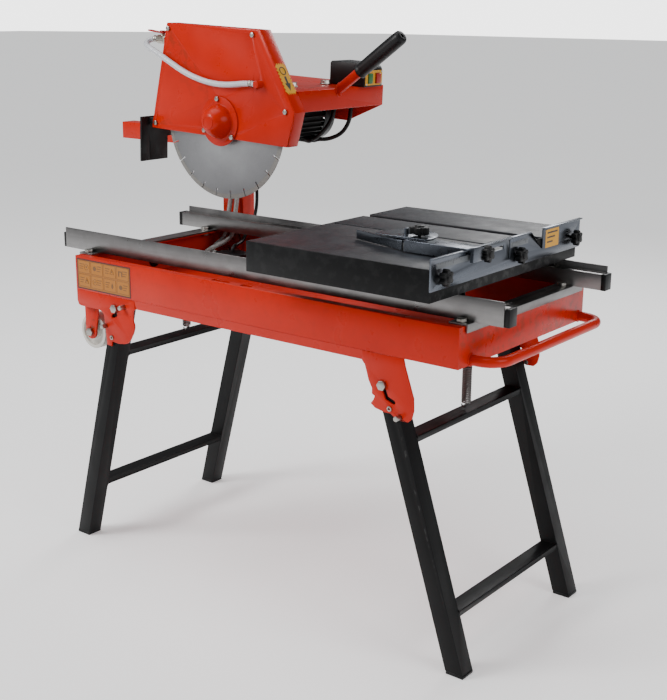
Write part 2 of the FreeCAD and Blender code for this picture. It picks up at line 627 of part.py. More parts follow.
def front_shield():
    """The motor's front shield: it closes the housing and bolts to the guard's back wall."""
    x, z = BLADE_AXIS
    y0 = MOTOR_Y[0]
    flange = disc_y(x, z, GUARD_Y[1], y0, 62)
    spigot = disc_y(x, z, y0, y0 + 6, 52)
    bore = disc_y(x, z, GUARD_Y[1] - 1, y0 + 7, 17.5)
    seat = disc_y(x, z, y0 - 8, y0 + 7, 26)
    return joined(flange, spigot).cut([bore, seat])


def fan_cover():
    x, z = BLADE_AXIS
    y0, y1 = MOTOR_Y[1], MOTOR_Y[1] + 38
    cup = disc_y(x, z, y0, y1, 64).cut(disc_y(x, z, y0 - 1, y1 - 2, 62))
    slots = []
    for k in range(10):
        slot = box(x - 3, x + 3, y1 - 5, y1 + 1, z + 18, z + 52)
        slot.rotate(V(x, 0, z), Y, 36 * k)
        slots.append(slot)
    return cup.cut(slots)


def rear_shield():
    x, z = BLADE_AXIS
    y1 = MOTOR_Y[1]
    disc = disc_y(x, z, y1 - 12, y1, 52)
    return disc.cut([disc_y(x, z, y1 - 13, y1 + 1, 11), disc_y(x, z, y1 - 13, y1 - 3, 22)])


def stator():
    x, z = BLADE_AXIS
    return ring_y(x, z, 385, 535, 52, 34.5)


def bearings():
    x, z = BLADE_AXIS
    y0, y1 = MOTOR_Y
    return group([ring_y(x, z, y0 - 8, y0 + 7, 26, 15.05), ring_y(x, z, y1 - 13, y1 - 3, 22, 10.05)])


def lift_handle():
    """A straight tube that rises from the hood's right side."""
    start, angle = V(368, 469, 1041), math.radians(37.7)
    along = V(math.cos(angle), 0, math.sin(angle))
    bar = Part.makeCylinder(11, 200, start - along * 20, along)
    bore = Part.makeCylinder(8.5, 199, start - along * 20, along)
    return bar.cut([box(300, 370, 440, 500, 980, 1100), bore])


def handle_grip():
    start, angle = V(368, 469, 1041), math.radians(37.7)
    along = V(math.cos(angle), 0, math.sin(angle))
    sleeve = Part.makeCylinder(16.5, 132, start + along * 72, along)
    sleeve = sleeve.cut(Part.makeCylinder(11, 108, start + along * 72, along))
    end = Part.makeSphere(16.5, start + along * 200)
    return joined(sleeve, end.cut(Part.makeCylinder(17, 40, start + along * 160, along)))


def switch_box():
    outline = [(287, HOOD_TOP), (387, HOOD_TOP), (387, 1080), (384, 1088), (378, 1094), (366, 1098)]
    outline += [(291, 1098), (287, 1094)]
    shell = xz_slab(outline, 540, 610)
    inside = xz_slab([(290, HOOD_TOP + 3), (382, HOOD_TOP + 3), (382, 1084), (366, 1095), (306, 1095),
                      (290, 1084)], 543, 607)
    holes = [box(380, 390, y - 8.3, y + 8.3, 1052.7, 1075.3) for y in BUTTON_Y]
    slot = box(286, 291, 558, 592, 1060, 1066)
    return shell.cut([inside, slot] + holes)


def button(y, length):
    cap = box(381, 390 + length, y - 8, y + 8, 1053, 1075)
    plunger = rod((370, y, 1064), (381, y, 1064), 4)
    return joined(cap, plunger)


def water_valve():
    """A ball valve screwed into the guard's left edge, with an inlet barb at its back."""
    x, y, z = VALVE
    body = joined(rod((x - 13, y, z), (x + 9, y, z), 10), hexagon((x + 7, y, z), 20, 7, X))
    outlet = joined(rod((x - 16, y, z), (x - 13, y, z), 7), rod((x - 8, y, z), (x + 25, y, z), 6))
    inlet = rod((x, y, z), (x, y + 26, z), 5)
    stem = rod((x, y, z), (x, y, z + 13), 5)
    return joined(body, outlet, inlet, stem).cut(xz_slab(GUARD_OUTLINE, 280, 330))


def valve_lever():
    x, y, z = VALVE
    boss = rod((x, y, z + 13.3), (x, y, z + 20), 7)
    arm = xz_slab([(x + 4, z + 14), (x + 4, z + 17), (x - 14, z + 17.5), (x - 44, z + 20), (x - 45, z + 16.5),
                   (x - 14, z + 14)], y - 5, y + 5)
    return joined(boss, arm)


# ---- blade and arbor ----
def blade():
    x, z = BLADE_AXIS
    body = ring_y(x, z, BLADE_Y, BLADE_Y + BLADE_T, BLADE_R, 12.7 + 0.1)
    cuts = []
    for k in range(SEGMENTS):
        gullet = box(x - 1.2, x + 1.2, BLADE_Y - 1, BLADE_Y + 5, z + BLADE_R - 16, z + BLADE_R + 1)
        hole = disc_y(x, z + BLADE_R - 16, BLADE_Y - 1, BLADE_Y + 5, 2.4)
        for cut in (gullet, hole):
            cut.rotate(V(x, 0, z), Y, 360 * (k + 0.5) / SEGMENTS)
            cuts.append(cut)
    return body.cut(cuts)


def arbor_shaft():
    """The shaft with its nut, and the two flanges that hold the blade."""
    x, z = BLADE_AXIS
    parts = [disc_y(x, z, 262, BLADE_Y + 11, 12.7), disc_y(x, z, BLADE_Y + 11, 385, 15)]
    parts += [disc_y(x, z, 385, 535, 17), disc_y(x, z, 535, MOTOR_Y[1] + 28, 10)]
    nut = hexagon((x, BLADE_Y - 18, z), 34, 10, Y)
    front = ring_y(x, z, BLADE_Y - 8, BLADE_Y, 38, 12.8)
    back = ring_y(x, z, BLADE_Y + BLADE_T, BLADE_Y + BLADE_T + 8, 38, 12.8)
    return group([joined(*parts, nut), front, back])


def rotor_core():
    x, z = BLADE_AXIS
    return ring_y(x, z, 385, 535, 34, 17)


def cooling_fan():
    x, z = BLADE_AXIS
    y0 = MOTOR_Y[1] + 5
    fan = [ring_y(x, z, y0, y0 + 22, 16, 10)]
    for k in range(8):
        vane = box(x - 1.5, x + 1.5, y0 + 2, y0 + 22, z + 14, z + 56)
        vane.rotate(V(x, 0, z), Y, 45 * k)
        fan.append(vane)
    return joined(*fan)


# ---- everything, in the order in which it goes together ----
os.makedirs("parts", exist_ok=True)
for old in os.listdir("parts"):
    os.remove(f"parts/{old}")

save("tub", tub())
save("leg_brackets", leg_brackets())
save("carry_handle", carry_handle())
save("cross_strips", cross_strips())
save("rail_front", rail(FRONT_PLATE_Y, FRONT_PLATE_Y + 3))
save("rail_back", rail(434, 409))
save("rail_caps", rail_caps())
save("column", column())
save("frame_bolts", frame_bolts())
save("water_pump", water_pump())
save("drain_plug", drain_plug())
save("spring_left", spring(106, 470, 560))
save("spring_right", spring(876, 440.5, 532))
save("supply_hoses", group([bent_tube(FEED_HOSE, 5.5, "feed hose"),
                            bent_tube(RETURN_HOSE, 5.5, "return hose")]))
save("pump_cable", bent_tube(PUMP_CABLE, 4.2, "pump cable"))
save("leg_frame_left", leg_frame(LEFT_LEG, LEFT_PIVOT, 464, 134))
save("leg_frame_right", leg_frame(RIGHT_LEG, RIGHT_PIVOT, 434.5, 109))
save("feet_left", feet(LEFT_LEG))
save("feet_right", feet(RIGHT_LEG))
save("wheel_front", wheel(25))
save("wheel_back", wheel(415))
save("table_tray", table_tray())
save("table_mats", table_mats())
save("roller_bolts", roller_bolts())
save("rollers_left", rollers(ROLLER_X[0]))
save("rollers_right", rollers(ROLLER_X[1]))
save("fence_plate", fence_plate())
for place, (y, z) in zip(("front", "middle", "back"), FENCE_KNOBS):
    save(f"fence_knob_{place}", fence_knob(y, z))
save("stop_arm", stop_arm())
save("stop_plate", stop_plate())
save("stop_clamp_knob", stop_clamp_knob())
save("star_knob", star_knob())
save("motor_plate", tilt(motor_plate()))
save("pivot_shaft", tilt(pivot_shaft()))
save("guard_shell", tilt(guard_shell()))
save("guard_cover", tilt(guard_cover()))
save("hub_cover", tilt(hub_cover()))
save("head_bolts", tilt(head_bolts()))
save("splash_flap", tilt(splash_flap()))
save("motor_hood", tilt(motor_hood()))
save("motor_housing", tilt(motor_housing()))
save("motor_shields", tilt(group([front_shield(), rear_shield()])))
save("fan_cover", tilt(fan_cover()))
save("stator", tilt(stator()))
save("bearings", tilt(bearings()))
save("lift_handle", tilt(lift_handle()))
save("handle_grip", tilt(handle_grip()))
save("switch_box", tilt(switch_box()))
save("start_button", tilt(button(BUTTON_Y[0], 1)))
save("stop_button", tilt(button(BUTTON_Y[1], 3)))
save("water_valve", tilt(water_valve()))
save("valve_lever", tilt(valve_lever()))
save("spray_hose", tilt(bent_tube(SPRAY_HOSE, 6.5, "spray hose")))
save("motor_cables", tilt(group([bent_tube(route, 5, "motor cable") for route in MOTOR_CABLES])))
save("blade", tilt(blade()))
save("arbor_shaft", tilt(arbor_shaft()))
save("rotor_core", tilt(rotor_core()))
save("cooling_fan", tilt(cooling_fan()))
print(len(os.listdir("parts")), "parts")
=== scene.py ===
"""Looks of the masonry saw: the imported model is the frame, and every visible surface is made here."""
import bmesh
import bpy
import json
import math
from mathutils import Matrix, Vector


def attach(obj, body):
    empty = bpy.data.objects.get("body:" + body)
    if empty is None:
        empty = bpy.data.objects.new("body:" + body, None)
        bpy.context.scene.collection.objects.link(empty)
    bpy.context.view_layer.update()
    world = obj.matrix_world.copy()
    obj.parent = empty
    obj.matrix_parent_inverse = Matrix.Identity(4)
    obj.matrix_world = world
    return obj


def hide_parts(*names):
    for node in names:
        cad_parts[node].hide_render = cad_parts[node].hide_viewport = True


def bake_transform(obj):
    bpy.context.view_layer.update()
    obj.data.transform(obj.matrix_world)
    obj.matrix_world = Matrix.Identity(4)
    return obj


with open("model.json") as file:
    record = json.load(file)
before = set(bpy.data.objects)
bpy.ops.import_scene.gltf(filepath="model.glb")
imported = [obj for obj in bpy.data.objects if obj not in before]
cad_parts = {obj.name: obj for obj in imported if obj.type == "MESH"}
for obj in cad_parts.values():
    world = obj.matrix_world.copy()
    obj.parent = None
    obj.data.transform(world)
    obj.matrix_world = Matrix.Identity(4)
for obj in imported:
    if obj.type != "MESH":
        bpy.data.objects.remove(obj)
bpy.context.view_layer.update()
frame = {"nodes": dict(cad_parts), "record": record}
BODY_OF = {node: body for body, nodes in frame["record"]["behaviour"]["bodies"].items() for node in nodes}
SLOT_OF = {part["node"]: part["material_slot"] for part in frame["record"]["subparts"]}

# ---- the saw's own layout: millimetres from the tub's left end, its front panel and the floor ----
ORIGIN = Vector((365.5, 283, 0))
PIVOT = Vector((43, 0, 1015))
HEAD_DIP = math.radians(2.3)
DIP = Matrix.Rotation(HEAD_DIP, 4, "Y")
HEAD_TURN = DIP.to_3x3()
HEAD_X = HEAD_TURN @ Vector((1, 0, 0))
BLADE_AXIS = (175.2, 963.8)       # x and z, before the dip
BLADE_Y = 306                     # the middle of its thickness
GUARD_FRONT = 289                 # y of the guard's front face
TUB_FLOOR_Z = 600
HANDLE_ROOT = (368, 469, 1041)
HANDLE_ANGLE = math.radians(37.7)


def at(x, y, z):
    """A point of the layout in the part's own frame, in metres."""
    return (Vector((x, y, z)) - ORIGIN) / 1000


def on_head(x, y, z):
    """The same for a point of the head, which is laid out level and hangs at its dip."""
    return at(*(PIVOT + DIP @ (Vector((x, y, z)) - PIVOT)))


def angles(count):
    """Evenly spaced angles round a full turn."""
    return [2 * math.pi * k / count for k in range(count)]


def along_edges(corners, steps):
    """Points along a closed outline: this many on each edge, from each corner on."""
    return [tuple(a + (b - a) * k / steps for a, b in zip(one, two))
            for one, two in zip(corners, corners[1:] + corners[:1]) for k in range(steps)]


# ---- camera ----
def camera():
    eye = Vector((1.7267, -2.0465, 1.2182))
    azimuth, elevation, roll = math.radians(37.797), math.radians(15.774), math.radians(0.425)
    back = Vector((math.sin(azimuth) * math.cos(elevation), -math.cos(azimuth) * math.cos(elevation),
                   math.sin(elevation)))
    right = Vector((0, 0, 1)).cross(back).normalized()
    turn = Matrix((right, back.cross(right), back)).transposed()
    data = bpy.data.cameras.new("camera")
    data.sensor_width = 36
    data.lens = 63.36
    data.clip_end = 50
    cam = bpy.data.objects.new("camera", data)
    bpy.context.collection.objects.link(cam)
    cam.matrix_world = Matrix.Translation(eye) @ (turn @ Matrix.Rotation(roll, 3, "Z")).to_4x4()
    bpy.context.scene.camera = cam


# ---- mesh helpers ----
def add_object(name, mesh, body, material, smooth=35):
    obj = bpy.data.objects.new(name, mesh)
    bpy.context.collection.objects.link(obj)
    mesh.materials.clear()
    mesh.materials.append(material)
    mesh.shade_smooth()
    mesh.set_sharp_from_angle(angle=math.radians(smooth))
    if body:
        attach(obj, body)
    return obj


def mesh_from(name, points, faces):
    mesh = bpy.data.meshes.new(name)
    mesh.from_pydata([tuple(p) for p in points], [], faces)
    bm = bmesh.new()
    bm.from_mesh(mesh)
    bmesh.ops.recalc_face_normals(bm, faces=bm.faces)
    bm.to_mesh(mesh)
    bm.free()
    return mesh


def mesh_of(name, bm):
    """A new mesh from a bmesh, which is freed."""
    mesh = bpy.data.meshes.new(name)
    bm.to_mesh(mesh)
    bm.free()
    return mesh


def with_bevel(mesh, width, segments):
    """The mesh with its edges rounded, as a new mesh."""
    holder = bpy.data.objects.new("holder", mesh)
    bpy.context.collection.objects.link(holder)
    bevel = holder.modifiers.new("bevel", "BEVEL")
    bevel.width = width
    bevel.segments = segments
    bevel.limit_method = "ANGLE"
    bevel.angle_limit = math.radians(30)
    bevel.use_clamp_overlap = False
    bpy.context.view_layer.update()
    graph = bpy.context.evaluated_depsgraph_get()
    result = bpy.data.meshes.new_from_object(holder.evaluated_get(graph))
    bpy.data.objects.remove(holder)
    return result


PIERCED = ("tub",)    # its holed faces stay as triangles, because merging them spoils the rim


def rounded(node, width, segments):
    """A visible skin of a CAD node: the same shape with its edges broken, as pressed or machined."""
    mesh = frame["nodes"][node].data.copy()
    bm = bmesh.new()
    bm.from_mesh(mesh)
    bmesh.ops.remove_doubles(bm, verts=bm.verts, dist=2e-6)
    if node not in PIERCED:
        bmesh.ops.dissolve_limit(bm, angle_limit=math.radians(0.6), verts=bm.verts, edges=bm.edges)
    bm.to_mesh(mesh)
    bm.free()
    mesh = with_bevel(mesh, width, segments)
    slot = SLOT_OF[node]
    skin = add_object(f"{node}_skin", mesh, BODY_OF[node], MATERIAL[slot])
    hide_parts(node)
    return skin


def slab(name, outline, along, body, material, bevel=0):
    """A thin plate: outline is a ring of points and along is its thickness, as a vector."""
    n = len(outline)
    points = [Vector(p) for p in outline] + [Vector(p) + along for p in outline]
    faces = [list(range(n)), list(range(n, 2 * n))[::-1]]
    faces += [[i, (i + 1) % n, n + (i + 1) % n, n + i] for i in range(n)]
    mesh = mesh_from(name, points, faces)
    if bevel:
        mesh = with_bevel(mesh, bevel, 1)
    return add_object(name, mesh, body, material)


def centreline(points):
    """The smooth line of a route: a NURBS spline with the route's points as its control points."""
    data = bpy.data.curves.new("route", "CURVE")
    data.dimensions = "3D"
    spline = data.splines.new("NURBS")
    spline.points.add(len(points) - 1)
    for point, co in zip(spline.points, points):
        point.co = (*co, 1)
    spline.order_u = 3
    spline.use_endpoint_u = True
    spline.resolution_u = 12
    holder = bpy.data.objects.new("route", data)
    bpy.context.collection.objects.link(holder)
    bpy.context.view_layer.update()
    graph = bpy.context.evaluated_depsgraph_get()
    mesh = bpy.data.meshes.new_from_object(holder.evaluated_get(graph))
    line = [v.co.copy() for v in mesh.vertices]
    bpy.data.objects.remove(holder)
    bpy.data.meshes.remove(mesh)
    return line


def sweep(name, line, radius, sides, body, material, closed=False):
    """A round tube along a line of points, with UV in metres: U round it and V along it."""
    points, faces, lengths = [], [], [0.0]
    for before, after in zip(line, line[1:]):
        lengths.append(lengths[-1] + (after - before).length)
    count = len(line)
    normal = None
    for i, place in enumerate(line):
        if closed:
            tangent = line[(i + 1) % count] - line[i - 1]
        else:
            tangent = line[min(i + 1, count - 1)] - line[max(i - 1, 0)]
        tangent.normalize()
        if normal is None:
            normal = tangent.orthogonal()
        normal = (normal - tangent * normal.dot(tangent)).normalized()
        side = tangent.cross(normal)
        points += [place + (normal * math.cos(a) + side * math.sin(a)) * radius for a in angles(sides)]
    rings = count if closed else count - 1
    for i in range(rings):
        for k in range(sides):
            a, b = i * sides, ((i + 1) % count) * sides
            faces.append((a + k, a + (k + 1) % sides, b + (k + 1) % sides, b + k))
    if not closed:
        faces.append(tuple(range(sides))[::-1])
        faces.append(tuple(range((count - 1) * sides, count * sides)))
    mesh = bpy.data.meshes.new(name)
    mesh.from_pydata(points, [], faces)
    layer = mesh.uv_layers.new(name="UVMap")
    for polygon in mesh.polygons[: rings * sides]:
        i, k = divmod(polygon.index, sides)
        far = lengths[i + 1] if i + 1 < count else lengths[i] + (line[0] - line[i]).length
        corners = ((k, lengths[i]), (k + 1, lengths[i]), (k + 1, far), (k, far))
        for loop, (u, v) in zip(polygon.loop_indices, corners):
            layer.data[loop].uv = (u / sides * 2 * math.pi * radius, v)
    return add_object(name, mesh, body, material, smooth=50)


def lathe(name, profile, origin, axis, body, material, sides=48):
    """A turned shape: profile is (distance along axis, radius) pairs from end to end."""
    axis = Vector(axis).normalized()
    across = axis.orthogonal().normalized()
    side = axis.cross(across)
    points, faces = [], []
    for along, radius in profile:
        centre = Vector(origin) + axis * along
        points += [centre + (across * math.cos(a) + side * math.sin(a)) * radius for a in angles(sides)]
    for i in range(len(profile) - 1):
        for k in range(sides):
            a, b = i * sides, (i + 1) * sides
            faces.append((a + k, a + (k + 1) % sides, b + (k + 1) % sides, b + k))
    faces.append(tuple(range(sides)))
    faces.append(tuple(range((len(profile) - 1) * sides, len(profile) * sides)))
    return add_object(name, mesh_from(name, points, faces), body, material, smooth=32)


# ---- materials ----
class Nodes:
    """Short calls for the nodes of one material."""

    def __init__(self, name):
        self.material = bpy.data.materials.new(name)
        self.material.use_nodes = True
        self.tree = self.material.node_tree
        self.shader = self.tree.nodes["Principled BSDF"]
        self.place = self.tree.nodes.new("ShaderNodeTexCoord").outputs["Object"]

    def link(self, a, b):
        self.tree.links.new(a, b)

    def noise(self, scale, detail, rough=0.55, stretch=None):
        place = self.place
        if stretch:
            mapping = self.tree.nodes.new("ShaderNodeMapping")
            mapping.inputs["Scale"].default_value = stretch
            self.link(place, mapping.inputs["Vector"])
            place = mapping.outputs["Vector"]
        node = self.tree.nodes.new("ShaderNodeTexNoise")
        node.inputs["Scale"].default_value = scale
        node.inputs["Detail"].default_value = detail
        node.inputs["Roughness"].default_value = rough
        self.link(place, node.inputs["Vector"])
        return node.outputs["Fac"]

    def cells(self, scale):
        node = self.tree.nodes.new("ShaderNodeTexVoronoi")
        node.inputs["Scale"].default_value = scale
        self.link(self.place, node.inputs["Vector"])
        return node

    def ramp(self, value, stops):
        node = self.tree.nodes.new("ShaderNodeValToRGB")
        elements = node.color_ramp.elements
        while len(elements) < len(stops):
            elements.new(0.5)
        for element, (position, colour) in zip(elements, stops):
            element.position = position
            element.color = (*colour, 1) if hasattr(colour, "__len__") else (colour, colour, colour, 1)
        self.link(value, node.inputs["Fac"])
        return node.outputs["Color"]

    def mix(self, factor, a, b, how="MIX"):
        node = self.tree.nodes.new("ShaderNodeMix")
        node.data_type = "RGBA"
        node.blend_type = how
        for value, key in ((factor, 0), (a, 6), (b, 7)):
            if isinstance(value, bpy.types.NodeSocket):
                self.link(value, node.inputs[key])
            else:
                node.inputs[key].default_value = (*value, 1) if hasattr(value, "__len__") else value
        return node.outputs[2]

    def edges(self, low, high):
        """White along convex edges, where a finish wears first."""
        geometry = self.tree.nodes.new("ShaderNodeNewGeometry")
        return self.ramp(geometry.outputs["Pointiness"], [(low, 0.0), (high, 1.0)])

    def bump(self, height, strength, distance, after=None):
        node = self.tree.nodes.new("ShaderNodeBump")
        node.inputs["Strength"].default_value = strength
        node.inputs["Distance"].default_value = distance
        self.link(height, node.inputs["Height"])
        if after:
            self.link(after, node.inputs["Normal"])
        return node.outputs["Normal"]

    def finish(self, colour, rough, normal=None, metal=None, **flat):
        sockets = ((colour, "Base Color"), (rough, "Roughness"), (normal, "Normal"), (metal, "Metallic"))
        for value, key in sockets:
            if isinstance(value, bpy.types.NodeSocket):
                self.link(value, self.shader.inputs[key])
            elif value is not None:
                self.shader.inputs[key].default_value = (*value, 1) if hasattr(value, "__len__") else value
        for key, value in flat.items():
            self.shader.inputs[key.replace("_", " ")].default_value = value
        return self.material


def paint(name, base, dark, gloss, edge_colour, peel=0.05, coat=0.03, shine=0.18):
    """Sprayed enamel: slight orange peel, dusty patches, worn along its edges."""
    n = Nodes(name)
    patches = n.noise(5.5, 6)
    colour = n.mix(n.ramp(patches, [(0.35, 0.0), (0.75, 1.0)]), base, dark)
    colour = n.mix(n.ramp(n.noise(420, 2), [(0.72, 0.0), (0.8, 0.5)]), colour, dark)
    worn = n.mix(1.0, n.edges(0.56, 0.62), n.ramp(n.noise(60, 5), [(0.5, 0.0), (0.62, 1.0)]), "MULTIPLY")
    colour = n.mix(worn, colour, edge_colour)
    rough = n.ramp(n.noise(14, 5), [(0.3, gloss), (0.8, gloss + 0.16)])
    peel_bump = n.bump(n.noise(260, 2), peel, 0.0006)
    return n.finish(colour, rough, n.bump(n.noise(9, 2), 0.1, 0.002, peel_bump), Coat_Weight=coat,
                    Coat_Roughness=0.12, Specular_IOR_Level=shine)


def metal(name, base, dark, rough, scale=90, stretch=None, strength=0.06, stain=0.45):
    """Bare or plated metal: stained patches and fine scratches along one way."""
    n = Nodes(name)
    colour = n.mix(n.ramp(n.noise(11, 6), [(0.3, 0.0), (0.75, 2 * stain)]), base, dark)
    scratches = n.noise(scale * 3, 3, stretch=stretch)
    colour = n.mix(n.ramp(scratches, [(0.45, 0.0), (0.8, stain)]), colour, dark)
    fine = n.noise(scale, 6, 0.6, stretch=stretch)
    return n.finish(colour, n.ramp(fine, [(0.25, rough), (0.8, rough + 0.2)]),
                    n.bump(fine, strength, 0.0006), metal=1.0)


def galvanised(name, base, dark, rough):
    """Drawn and plated tube: fine lines along it, faint crystals and dull water marks."""
    n = Nodes(name)
    crystals = n.cells(70)
    grain = n.ramp(crystals.outputs["Color"], [(0.1, 0.0), (0.9, 0.22)])
    colour = n.mix(grain, base, dark)
    colour = n.mix(n.ramp(n.noise(7, 6), [(0.45, 0.0), (0.85, 0.5)]), colour, dark)
    lines = n.noise(150, 4, 0.6, stretch=(0.04, 1, 1))
    colour = n.mix(n.ramp(lines, [(0.4, 0.0), (0.75, 0.35)]), colour, dark)
    sheen = n.ramp(n.noise(26, 5), [(0.3, rough), (0.8, rough + 0.16)])
    return n.finish(colour, sheen, n.bump(lines, 0.06, 0.0005), metal=1.0)


def plastic(name, base, light, rough, grain=700, strength=0.12, **flat):
    """Moulded plastic or rubber: a fine spark-eroded grain, and handling marks."""
    n = Nodes(name)
    colour = n.mix(n.ramp(n.noise(16, 6), [(0.35, 0.0), (0.8, 1.0)]), base, light)
    colour = n.mix(n.edges(0.56, 0.66), colour, light)
    return n.finish(colour, n.ramp(n.noise(40, 5), [(0.3, rough), (0.8, rough + 0.18)]),
                    n.bump(n.noise(grain, 2), strength, 0.0004), **flat)


def blade_steel():
    """Ground steel: rings left by the grinding wheel round the arbor, drawn lighter as a painted sheen,
    dull stains, and painted shade that darkens the steel towards its rim.
    """
    n = Nodes("blade_steel")
    centre = on_head(BLADE_AXIS[0], BLADE_Y, BLADE_AXIS[1])
    shift = n.tree.nodes.new("ShaderNodeVectorMath")
    shift.operation = "SUBTRACT"
    shift.inputs[1].default_value = centre
    n.link(n.place, shift.inputs[0])
    wave = n.tree.nodes.new("ShaderNodeTexWave")
    wave.wave_type = "RINGS"
    wave.rings_direction = "Y"
    wave.inputs["Scale"].default_value = 130
    wave.inputs["Distortion"].default_value = 1.2
    wave.inputs["Detail"].default_value = 3
    n.link(shift.outputs[0], wave.inputs["Vector"])
    stain = n.noise(13, 7, 0.6)
    reach = n.tree.nodes.new("ShaderNodeVectorMath")
    reach.operation = "LENGTH"
    n.link(shift.outputs[0], reach.inputs[0])
    # painted shade: the steel is drawn darker from the arbor out to the rim, where the guard shades it
    painted_rim_shade = n.ramp(reach.outputs["Value"], [(0.07, 0.0), (0.12, 0.55), (0.17, 1.0)])
    colour = n.mix(painted_rim_shade, (0.38, 0.38, 0.39), (0.21, 0.21, 0.217))
    colour = n.mix(n.ramp(stain, [(0.3, 0.0), (0.75, 0.6)]), colour, (0.17, 0.17, 0.174))
    # the grinding rings are real, but drawing them lighter is a painted sheen: their streaks of highlight
    colour = n.mix(n.ramp(wave.outputs["Fac"], [(0.2, 0.0), (0.9, 0.22)]), colour, (0.50, 0.50, 0.51))
    return n.finish(colour, n.ramp(stain, [(0.3, 0.30), (0.8, 0.46)]),
                    n.bump(wave.outputs["Fac"], 0.06, 0.0003), metal=1.0)


def ribbed_rubber():
    """The table's mats: near-black rubber with fine grooves along the cut, dusted with slurry, and painted
    shade in the grooves.
    """
    n = Nodes("grey_rubber")
    wave = n.tree.nodes.new("ShaderNodeTexWave")
    wave.bands_direction = "Y"
    wave.inputs["Scale"].default_value = 52
    n.link(n.place, wave.inputs["Vector"])
    colour = n.mix(n.ramp(n.noise(9, 6), [(0.3, 0.0), (0.8, 1.0)]), (0.0065, 0.0075, 0.0105),
                   (0.012, 0.0135, 0.0185))
    # painted shade: the bottoms of the grooves between the ribs are drawn darker
    colour = n.mix(n.ramp(wave.outputs["Fac"], [(0.0, 0.35), (0.4, 0.0)]), colour, (0.004, 0.0044, 0.0055))
    ribs = n.bump(wave.outputs["Fac"], 0.35, 0.0008)
    rough = n.ramp(n.noise(25, 5), [(0.3, 0.38), (0.8, 0.6)])
    return n.finish(colour, rough, n.bump(n.noise(500, 2), 0.1, 0.0004, ribs), Specular_IOR_Level=0.4)


def braided(name, base, dark, rough, lines, clear=0):
    """A hose with a woven cover under its skin: two sets of threads crossing on the slant."""
    n = Nodes(name)
    uv = n.tree.nodes.new("ShaderNodeTexCoord").outputs["UV"]
    weave = None
    for angle in (0.7, -0.7):
        mapping = n.tree.nodes.new("ShaderNodeMapping")
        mapping.inputs["Rotation"].default_value = (0, 0, angle)
        n.link(uv, mapping.inputs["Vector"])
        wave = n.tree.nodes.new("ShaderNodeTexWave")
        wave.inputs["Scale"].default_value = lines
        n.link(mapping.outputs["Vector"], wave.inputs["Vector"])
        weave = wave.outputs["Fac"] if weave is None else n.mix(0.5, weave, wave.outputs["Fac"])
    colour = n.mix(n.ramp(weave, [(0.2, 1.0), (0.6, 0.0)]), base, dark)
    colour = n.mix(n.ramp(n.noise(24, 5), [(0.5, 0.0), (0.8, 0.5)]), colour, dark)
    flat = {"Coat_Weight": 0.5, "Coat_Roughness": 0.2}
    if clear:
        flat["Transmission_Weight"] = clear
    return n.finish(colour, n.ramp(n.noise(60, 3), [(0.3, rough), (0.8, rough + 0.12)]),
                    n.bump(weave, 0.25, 0.0004), **flat)


MATERIAL = {
    "orange_paint": paint("orange_paint", (0.53, 0.0125, 0.0003), (0.43, 0.009, 0.0003), 0.24,
                          (0.22, 0.03, 0.012)),
    "black_paint": paint("black_paint", (0.0016, 0.0017, 0.0019), (0.0035, 0.0037, 0.0042), 0.38,
                         (0.03, 0.03, 0.03), 0.05, 0.0, 0.16),
    "motor_black": paint("motor_black", (0.0016, 0.0017, 0.002), (0.005, 0.005, 0.005), 0.42,
                         (0.02, 0.02, 0.02), 0.2, 0.0, 0.2),
    "core_iron": metal("core_iron", (0.2, 0.19, 0.18), (0.1, 0.09, 0.085), 0.5),
    "galvanised": galvanised("galvanised", (0.25, 0.243, 0.24), (0.16, 0.155, 0.152), 0.27),
    "zinc_plate": metal("zinc_plate", (0.125, 0.137, 0.16), (0.09, 0.10, 0.12), 0.2, 70, (1, 0.12, 1),
                        0.012, 0.15),
    "zinc_bolts": metal("zinc_bolts", (0.46, 0.45, 0.42), (0.25, 0.24, 0.21), 0.24, 200),
    "spring_steel": metal("spring_steel", (0.22, 0.215, 0.21), (0.1, 0.095, 0.09), 0.32, 250),
    "machined_steel": metal("machined_steel", (0.5, 0.5, 0.5), (0.34, 0.34, 0.34), 0.22, 220),
    "brass": metal("brass", (0.56, 0.52, 0.44), (0.36, 0.32, 0.26), 0.25, 200),
    "blade_steel": blade_steel(),
    "grey_rubber": ribbed_rubber(),
    "black_plastic": plastic("black_plastic", (0.0014, 0.0015, 0.0018), (0.004, 0.004, 0.005), 0.34,
                             Specular_IOR_Level=0.26),
    "black_rubber": plastic("black_rubber", (0.002, 0.002, 0.0023), (0.005, 0.005, 0.006), 0.36, 500, 0.1,
                            Specular_IOR_Level=0.3),
    "cable_black": plastic("cable_black", (0.003, 0.003, 0.0033), (0.007, 0.007, 0.007), 0.36, 900, 0.08,
                           Specular_IOR_Level=0.3),
    "white_nylon": plastic("white_nylon", (0.66, 0.64, 0.58), (0.46, 0.44, 0.39), 0.34, 400, 0.06),
    "red_plastic": plastic("red_plastic", (0.36, 0.008, 0.006), (0.25, 0.008, 0.006), 0.28, 600, 0.06),
    "green_plastic": plastic("green_plastic", (0.015, 0.14, 0.03), (0.012, 0.10, 0.025), 0.28, 600, 0.06),
    "white_hose": braided("white_hose", (0.62, 0.63, 0.66), (0.38, 0.40, 0.44), 0.26, 420),
    "clear_hose": braided("clear_hose", (0.55, 0.56, 0.54), (0.28, 0.28, 0.26), 0.22, 500, 0.35),
}


def label_film(name, base, light, rough):
    """A printed film: nearly smooth plastic."""
    return plastic(name, base, light, rough, 900, 0.03)


